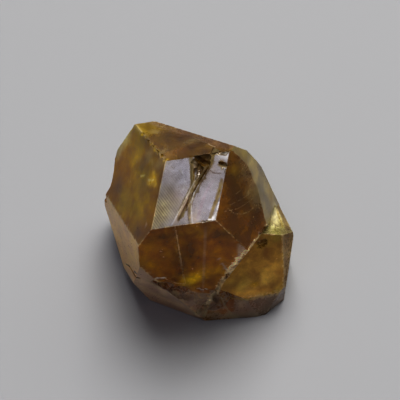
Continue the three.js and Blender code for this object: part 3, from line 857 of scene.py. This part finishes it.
    def host_of(self, point: Vector, normal: Vector) -> tuple[Face | None, float]:
        """The named face that a point belongs to, if any is near, and how far off it the point is.

        Args:
            point: The point.
            normal: The surface's normal there, which tells apart faces that cross.

        Returns:
            The face or None, and the distance to its plane.
        """
        def misfit(face: Face) -> float:
            plane = face.plane
            return abs(plane.height(point)) + self.turn_cost * (1 - plane.normal.dot(normal))

        face = min(Face, key=misfit)
        off = abs(face.plane.height(point))
        return (face if off < self.near_face else None), off

    def dress(self, vertex: bmesh.types.BMVert, edges: KDTree) -> tuple[Look, float]:
        """What one vertex looks like.

        Args:
            vertex: The vertex.
            edges: Points along the sharp edges.

        Returns:
            Its look, and how far the relief pushes it in, in millimetres.
        """
        point = self.local(vertex.co)
        face, off = self.host_of(point, vertex.normal)
        here = LOOKS.get(face, HIDDEN).copy()
        to_edge = edges.find(point)[2]
        flat = off < self.on_face and face.plane.normal.dot(vertex.normal) > self.level
        broken = not flat and to_edge > 2 * self.edge_wear
        if broken:
            here.blend(BROKEN_ON.get(face, BROKEN), self.broken_share)
        relief = self.face_relief * (1 + self.swell.at(point))
        for mark in MARKS:
            if mark.face is face or mark.spills:
                share = mark.share(point)
                here.blend(mark.look, share)
                relief += mark.dent * share
        if broken:
            relief += self.broken_relief * (0.5 + self.chatter.at(point))
        worn = (1 - smoothstep(0.0, self.wear_reach, to_edge)) * self.wear_cover.at(point)
        if face is not Face.CROWN:
            here.blend(WEAR_AND_PAINTED_SPARKLE, self.wear_share * worn)
        for edge in WORN_EDGES:
            here.blend(edge.look, edge.share(point))
        vein = self.vein.share(point)
        here.blend(VEIN, vein)
        here.blend(GRIT, vein * self.vein.grit.at(point))
        return here, relief + self.vein.depth(point, vein) + self.wear_relief * worn

    def build(self) -> bpy.types.Object:
        """Make the finished piece.

        Returns:
            The crystal as an object of its own, with its marks stored on its mesh.
        """
        bm = self.copy_of_solid()
        edges = self.sharp_edge_tree(bm)
        self.wear_edges(bm)
        self.refine(bm, edges)
        bm.normal_update()
        dressed = [self.dress(v, edges) for v in bm.verts]
        for v, (_, push) in zip(bm.verts, dressed):
            v.co -= v.normal * (push * MM)
        bmesh.ops.recalc_face_normals(bm, faces=bm.faces)
        mesh = bpy.data.meshes.new("crystal")
        bm.to_mesh(mesh)
        bm.free()
        SurfaceMarks([here for here, _ in dressed]).write(mesh)
        mesh.shade_smooth()
        mesh.set_sharp_from_angle(angle=math.radians(self.crease_angle))
        piece = bpy.data.objects.new("crystal", mesh)
        bpy.context.scene.collection.objects.link(piece)
        return piece


# ---- materials ----

@dataclass(frozen=True)
class NoiseShape:
    """How a noise texture is made. Scale is in features per metre."""

    scale: float
    detail: float
    rough: float
    warp: float = 0.0


@dataclass(frozen=True)
class Spread:
    """A range of values carried to another range, held at the ends."""

    low: float
    high: float
    to_low: float
    to_high: float


class Nodes:
    """Adds nodes to one material and links them."""

    # The colour sockets of the mix node, which share their names with its other sockets.
    MIX_SHARE, MIX_FIRST, MIX_SECOND, MIX_RESULT = 0, 6, 7, 2

    def __init__(self, material: bpy.types.Material) -> None:
        """Start from an empty tree."""
        material.use_nodes = True
        self.tree = material.node_tree
        self.tree.nodes.clear()

    def add(self, kind: str, inputs: dict[str | int, Input] | None = None,
            **settings) -> bpy.types.Node:
        """Add a node.

        Args:
            kind: The node's type.
            inputs: Values or sockets for its inputs, by name or number.
            **settings: Properties of the node itself.

        Returns:
            The node.
        """
        node = self.tree.nodes.new(kind)
        for name, value in settings.items():
            setattr(node, name, value)
        for name, value in (inputs or {}).items():
            socket = node.inputs[name]
            if isinstance(value, Socket):
                self.tree.links.new(value, socket)
            else:
                socket.default_value = value
        return node

    def attribute(self, name: str, output: str = "Fac") -> Socket:
        """A mark stored on the mesh."""
        return self.add("ShaderNodeAttribute", attribute_name=name).outputs[output]

    def noise(self, place: Socket, shape: NoiseShape) -> Socket:
        """Noise in the space of a place."""
        made = self.add("ShaderNodeTexNoise", {
            "Vector": place, "Scale": shape.scale, "Detail": shape.detail,
            "Roughness": shape.rough, "Distortion": shape.warp,
        })
        return made.outputs["Fac"]

    def spread(self, value: Socket, over: Spread) -> Socket:
        """A value carried from one range to another."""
        made = self.add("ShaderNodeMapRange", {
            "Value": value, "From Min": over.low, "From Max": over.high,
            "To Min": over.to_low, "To Max": over.to_high,
        })
        return made.outputs["Result"]

    def math(self, operation: str, a: Input, b: Input = 0.0, held: bool = False) -> Socket:
        """Two numbers put together, held between 0 and 1 if asked."""
        made = self.add("ShaderNodeMath", {0: a, 1: b}, operation=operation, use_clamp=held)
        return made.outputs["Value"]

    def mix(self, share: Input, first: Input, second: Input) -> Socket:
        """Two colours mixed."""
        made = self.add("ShaderNodeMix", {
            self.MIX_SHARE: share, self.MIX_FIRST: first, self.MIX_SECOND: second,
        }, data_type="RGBA")
        return made.outputs[self.MIX_RESULT]


@dataclass(frozen=True)
class GarnetFinish:
    """See-through garnet: plain index and absorption, with mottled colour and cloudy patches."""

    index: float = 1.735
    absorbed: RGBA = (0.79, 0.62, 0.12, 1.0)
    density: float = 220.0
    glint: RGBA = (1.0, 0.7, 0.35, 1.0)
    dullness: float = 0.07
    silk_index: float = 2.4
    silk_roughness: float = 0.24
    bump_strength: float = 0.3
    bump_depth: float = 0.02 * MM

    # Veils lie in sheets that lean back, so their noise is turned and drawn out.
    veil_turn: tuple[float, float, float] = (math.radians(-52), 0.0, 0.0)
    veil_stretch: tuple[float, float, float] = (1.0, 2.5, 1.0)
    broad: NoiseShape = NoiseShape(130, 3, 0.55, 0.4)
    mottle: NoiseShape = NoiseShape(450, 5, 0.58, 0.3)
    grain: NoiseShape = NoiseShape(2600, 4, 0.6)
    broad_light: Spread = Spread(0.35, 0.65, 0.6, 1.5)
    mottle_light: Spread = Spread(0.3, 0.7, 0.7, 1.3)
    grain_light: Spread = Spread(0.3, 0.7, 0.88, 1.12)
    mottle_hue: Spread = Spread(0.35, 0.65, 0.492, 0.512)
    mottle_cloud: Spread = Spread(0.35, 0.7, 0.85, 1.2)
    mottle_sheen: Spread = Spread(0.35, 0.6, 0.75, 1.1)
    mottle_relief: float = 2.0
    grain_rough: Spread = Spread(0.35, 0.75, -0.03, 0.08)

    # Growth lines, this far from one to the next.
    line_step: float = 0.36 * MM
    line_edge: Spread = Spread(-0.2, 0.9, 0, 1)
    line_light: Spread = Spread(0, 1, 1, 0.45)
    line_sheen: Spread = Spread(0, 1, 1, 0.4)

    # Specks: grains in Voronoi cells, in the cells that are picked.
    speck_scale: float = 900
    speck_edge: Spread = Spread(0.07, 0.14, 1, 0)
    speck_picked: Spread = Spread(0.8, 0.82, 0, 1)
    speck_odds: Spread = Spread(0.4, 0.6, 0.1, 0.8)
    speck_tone: RGBA = (0.7, 0.52, 0.24, 1)

    def lines(self, kit: Nodes, place: Socket) -> Socket:
        """Fine growth lines that fall to the right across the crown, 1 in the hollows."""
        across, up = Face.CROWN.plane.frame()
        along = kit.add("ShaderNodeVectorMath", {
            0: place, 1: (across + up).normalized(),
        }, operation="DOT_PRODUCT").outputs["Value"]
        wave = kit.math("SINE", kit.math("MULTIPLY", along, math.tau / self.line_step))
        shown = kit.spread(wave, self.line_edge)
        return kit.math("MULTIPLY", shown, kit.attribute("lines"), held=True)

    def specks(self, kit: Nodes, place: Socket, broad: Socket) -> Socket:
        """Small bright grains, more of them where the broad noise is high."""
        cells = kit.add("ShaderNodeTexVoronoi", {"Vector": place, "Scale": self.speck_scale})
        near = kit.spread(cells.outputs["Distance"], self.speck_edge)
        chance = kit.add("ShaderNodeSeparateColor", {"Color": cells.outputs["Color"]})
        picked = kit.spread(chance.outputs["Red"], self.speck_picked)
        odds = kit.math("MULTIPLY", picked, kit.spread(broad, self.speck_odds), held=True)
        return kit.math("MULTIPLY", near, odds, held=True)

    def light(self, kit: Nodes, broad: Socket, mottle: Socket, grain: Socket,
              lines: Socket) -> Socket:
        """How light the colour is, 1 being as marked, from the three noises and the lines."""
        light = kit.math("MULTIPLY", kit.spread(broad, self.broad_light),
                         kit.spread(mottle, self.mottle_light))
        light = kit.math("MULTIPLY", light, kit.spread(grain, self.grain_light))
        light = kit.math("MULTIPLY", kit.math("SUBTRACT", light, 1.0), kit.attribute("mottle"))
        light = kit.math("ADD", light, 1.0)
        return kit.math("MULTIPLY", light, kit.spread(lines, self.line_light))

    def build(self) -> bpy.types.Material:
        """Make the material."""
        material = bpy.data.materials.new("garnet")
        kit = Nodes(material)
        place = kit.add("ShaderNodeTexCoord").outputs["Object"]
        veils = kit.add("ShaderNodeMapping", {
            "Vector": place, "Rotation": self.veil_turn, "Scale": self.veil_stretch,
        }, vector_type="TEXTURE").outputs["Vector"]
        broad, mottle = kit.noise(veils, self.broad), kit.noise(veils, self.mottle)
        grain = kit.noise(place, self.grain)
        lines = self.lines(kit, place)
        specks = self.specks(kit, place, broad)
        tone = kit.add("ShaderNodeHueSaturation", {
            "Hue": kit.spread(mottle, self.mottle_hue),
            "Color": kit.attribute("tone", "Color"),
            "Value": self.light(kit, broad, mottle, grain, lines),
        }).outputs["Color"]
        cloud = kit.math("MULTIPLY", kit.attribute("cloud"),
                         kit.spread(mottle, self.mottle_cloud), held=True)
        cloud = kit.math("ADD", cloud, specks, held=True)
        rough = kit.math("ADD", kit.attribute("rough"), kit.spread(grain, self.grain_rough),
                         held=True)
        sheen = kit.math("MULTIPLY", kit.attribute("sheen"),
                         kit.spread(mottle, self.mottle_sheen), held=True)
        sheen = kit.math("MULTIPLY", sheen, kit.spread(lines, self.line_sheen), held=True)
        relief = kit.math("ADD", grain, kit.math("MULTIPLY", mottle, self.mottle_relief))
        relief = kit.math("SUBTRACT", relief, lines)
        bump = kit.add("ShaderNodeBump", {
            "Strength": self.bump_strength, "Distance": self.bump_depth, "Height": relief,
        }).outputs["Normal"]
        shader = kit.add("ShaderNodeBsdfPrincipled", {
            "Base Color": kit.mix(specks, tone, self.speck_tone),
            "Roughness": rough,
            "IOR": self.index,
            "Specular IOR Level": self.dullness,
            "Specular Tint": self.glint,
            "Transmission Weight": kit.math("SUBTRACT", 1.0, cloud, held=True),
            "Coat Weight": sheen,
            "Coat IOR": self.silk_index,
            "Coat Roughness": self.silk_roughness,
            "Normal": bump,
            "Coat Normal": bump,
        })
        depth = kit.add("ShaderNodeVolumeAbsorption", {
            "Color": self.absorbed, "Density": self.density,
        })
        kit.add("ShaderNodeOutputMaterial", {
            "Surface": shader.outputs["BSDF"], "Volume": depth.outputs["Volume"],
        })
        return material


@dataclass(frozen=True)
class FloorFinish:
    """Plain pale floor."""

    colour: RGBA = (0.4, 0.4, 0.405, 1.0)
    roughness: float = 0.9

    def build(self) -> bpy.types.Material:
        """Make the material."""
        material = bpy.data.materials.new("floor")
        kit = Nodes(material)
        shader = kit.add("ShaderNodeBsdfPrincipled", {
            "Base Color": self.colour, "Roughness": self.roughness,
        })
        kit.add("ShaderNodeOutputMaterial", {"Surface": shader.outputs["BSDF"]})
        return material


# ---- studio ----

@dataclass(frozen=True)
class Panel:
    """A soft square light that faces the crystal. Degrees, metres and watts."""

    name: str
    azimuth: float
    height: float
    distance: float
    size: float
    power: float
    colour: tuple[float, float, float]

    def hang(self, centre: Vector) -> None:
        """Add the light to the scene, facing a point."""
        data = bpy.data.lights.new(self.name, "AREA")
        data.shape = "SQUARE"
        data.size = self.size
        data.energy = self.power
        data.color = self.colour
        light = bpy.data.objects.new(self.name, data)
        bpy.context.scene.collection.objects.link(light)
        towards = aimed(self.azimuth, self.height, 0).normal
        light.location = centre + towards * self.distance
        light.rotation_euler = towards.to_track_quat("Z", "Y").to_euler()


PANELS = [
    # Mirrored by the silky crown.
    Panel("silver", -113, 57, 0.8, 0.34, 0.42, (0.92, 0.94, 1.2)),
    # From the far right, which lights the crystal through.
    Panel("key", 50, 60, 0.9, 0.9, 2.2, (1.0, 0.985, 0.95)),
    # High up behind, for the floor and the shadow at the crystal's foot.
    Panel("ceiling", 75, 74, 1.0, 0.6, 7.2, (1.0, 1.0, 1.0)),
]


@dataclass
class Studio:
    """Floor, soft lights, room and camera. Sizes are in metres, but the sensor's and lens's in mm."""

    centre: Vector
    camera_distance: float = 0.17742
    camera_elevation: float = 52.0
    lens: float = 99.0
    sensor: float = 36.0
    nearest: float = 0.01
    floor_size: float = 4.0
    floor_gap: float = 0.00004
    room_colour: RGBA = (0.5, 0.48, 0.46, 1)
    room_strength: float = 0.11

    def build_floor(self) -> None:
        """The plain floor, a hair below the crystal's foot."""
        bm = bmesh.new()
        bmesh.ops.create_grid(bm, x_segments=1, y_segments=1, size=self.floor_size / 2)
        bmesh.ops.translate(bm, verts=bm.verts, vec=(0, 0, CAD_LOW.z - self.floor_gap))
        mesh = bpy.data.meshes.new("floor")
        bm.to_mesh(mesh)
        bm.free()
        mesh.materials.append(FloorFinish().build())
        floor = bpy.data.objects.new("floor", mesh)
        bpy.context.scene.collection.objects.link(floor)

    def build_room(self) -> None:
        """The room's own dim grey."""
        world = bpy.data.worlds.new("room")
        world.use_nodes = True
        background = world.node_tree.nodes["Background"]
        background.inputs["Color"].default_value = self.room_colour
        background.inputs["Strength"].default_value = self.room_strength
        bpy.context.scene.world = world

    def build_camera(self) -> None:
        """The camera, looking down on the crystal from the front."""
        data = bpy.data.cameras.new("camera")
        data.lens = self.lens
        data.sensor_width = self.sensor
        data.clip_start = self.nearest
        camera = bpy.data.objects.new("camera", data)
        bpy.context.scene.collection.objects.link(camera)
        rise = math.radians(self.camera_elevation)
        back = Vector((0, -math.cos(rise), math.sin(rise)))
        camera.location = self.centre + back * self.camera_distance
        camera.rotation_euler = (math.pi / 2 - rise, 0, 0)
        bpy.context.scene.camera = camera

    def build(self) -> None:
        """Set up the whole studio."""
        self.build_floor()
        for panel in PANELS:
            panel.hang(self.centre)
        self.build_room()
        self.build_camera()
        view = bpy.context.scene.view_settings
        view.view_transform = "Standard"
        view.look = "High Contrast"


def main() -> None:
    """Build the crystal and its studio."""
    logging.basicConfig(level=logging.INFO, format="%(name)s: %(message)s")
    crystal = GarnetCrystal()
    Studio(crystal.centre).build()
    piece = crystal.build()
    piece.data.materials.append(GarnetFinish().build())
    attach(piece, ROOT_BODY)
    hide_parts(CRYSTAL_NODE)
    log.info("%s: %d triangles", piece.name, len(piece.data.polygons))


if __name__ == "__main__":
    main()
